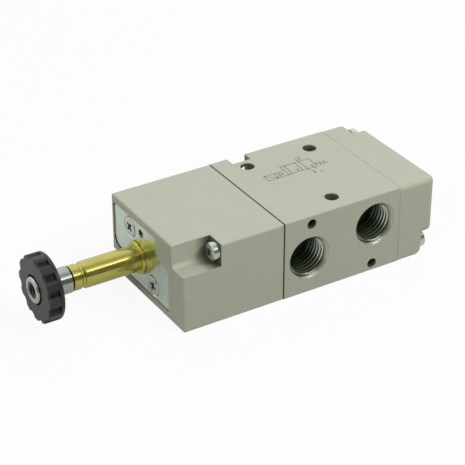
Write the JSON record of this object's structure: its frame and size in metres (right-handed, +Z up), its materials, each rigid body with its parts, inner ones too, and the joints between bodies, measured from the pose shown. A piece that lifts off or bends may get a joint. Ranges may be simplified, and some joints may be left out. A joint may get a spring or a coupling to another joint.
{
  "type": "pneumatic solenoid valve",
  "caption": "Spool valve body with threaded ports, bolted end blocks, a pilot plate and a brass operator tube that takes a coil, held by a scalloped knob.",
  "frame": {"origin": "centre of the valve body's bottom face", "axes": "+X along the spool from the solenoid end to the spring end, +Y from the face with two ports to the face with one, +Z up, away from the bottom face"},
  "size_m": [0.1223, 0.042, 0.0255],
  "materials": {
    "body_paint": "satin",
    "cap_paint": "satin",
    "zinc_plate": "satin",
    "bright_steel": "polished",
    "core_steel": "turned",
    "brass": "drawn",
    "copper": "plain",
    "spring_steel": "plain",
    "aluminium": "turned",
    "acetal": "moulded",
    "knob_plastic": "moulded",
    "seal_rubber": "moulded"
  },
  "bodies": {
    "valve": {"valve_body": "body_paint", "actuator_cap": "cap_paint", "end_cap": "cap_paint", "cap_gasket": "seal_rubber", "end_gasket": "seal_rubber", "actuator_cap_screws": "bright_steel", "end_cap_screws": "bright_steel", "pilot_plate": "zinc_plate", "pilot_plate_screws": "bright_steel", "operator_tube": "brass", "fixed_core": "core_steel", "tube_seal": "seal_rubber", "core_seal": "seal_rubber", "shading_ring": "copper", "plunger_spring": "spring_steel", "pilot_nozzle": "brass", "passage_ball": "bright_steel", "override_seal": "seal_rubber", "spool_seals": "seal_rubber", "spool_cages": "acetal", "guide_ring": "acetal", "return_spring": "spring_steel"},
    "spool_group": {"spool": "aluminium", "piston": "acetal", "piston_seal": "seal_rubber"},
    "plunger_group": {"plunger": "core_steel", "plunger_lower_seal": "seal_rubber", "plunger_upper_seal": "seal_rubber"},
    "override": {"override_screw": "bright_steel"},
    "knob_ring": {"knob_seal_ring": "seal_rubber"},
    "knob_group": {"knob": "knob_plastic", "knob_insert": "bright_steel"}
  },
  "joints": [
    {"name": "spool_slide", "type": "slide", "parent": "valve", "child": "spool_group", "axis": [1, 0, 0], "range_m": [0, 0.0045], "stiffness_N_per_m": 1500, "springref_m": -0.008, "deforming": ["return_spring"]},
    {"name": "plunger_slide", "type": "slide", "parent": "valve", "child": "plunger_group", "axis": [-1, 0, 0], "range_m": [0, 0.0008], "stiffness_N_per_m": 500, "springref_m": -0.004, "deforming": ["plunger_spring"]},
    {"name": "override_turn", "type": "hinge", "parent": "valve", "child": "override", "pos_m": [-0.0533, 0.0037, 0.02025], "axis": [-1, 0, 0], "range_deg": [0, 90]},
    {"name": "knob_travel", "type": "slide", "parent": "valve", "child": "knob_ring", "axis": [-1, 0, 0], "range_m": [0, 0.004]},
    {"name": "knob_turn", "type": "hinge", "parent": "knob_ring", "child": "knob_group", "pos_m": [-0.08335, 0.0037, 0.01275], "axis": [-1, 0, 0], "range_deg": [0, 1810]}
  ],
  "couplings": [
    {"joint": "knob_turn", "follows": "knob_travel", "rad_per_m": 7854}
  ]
}
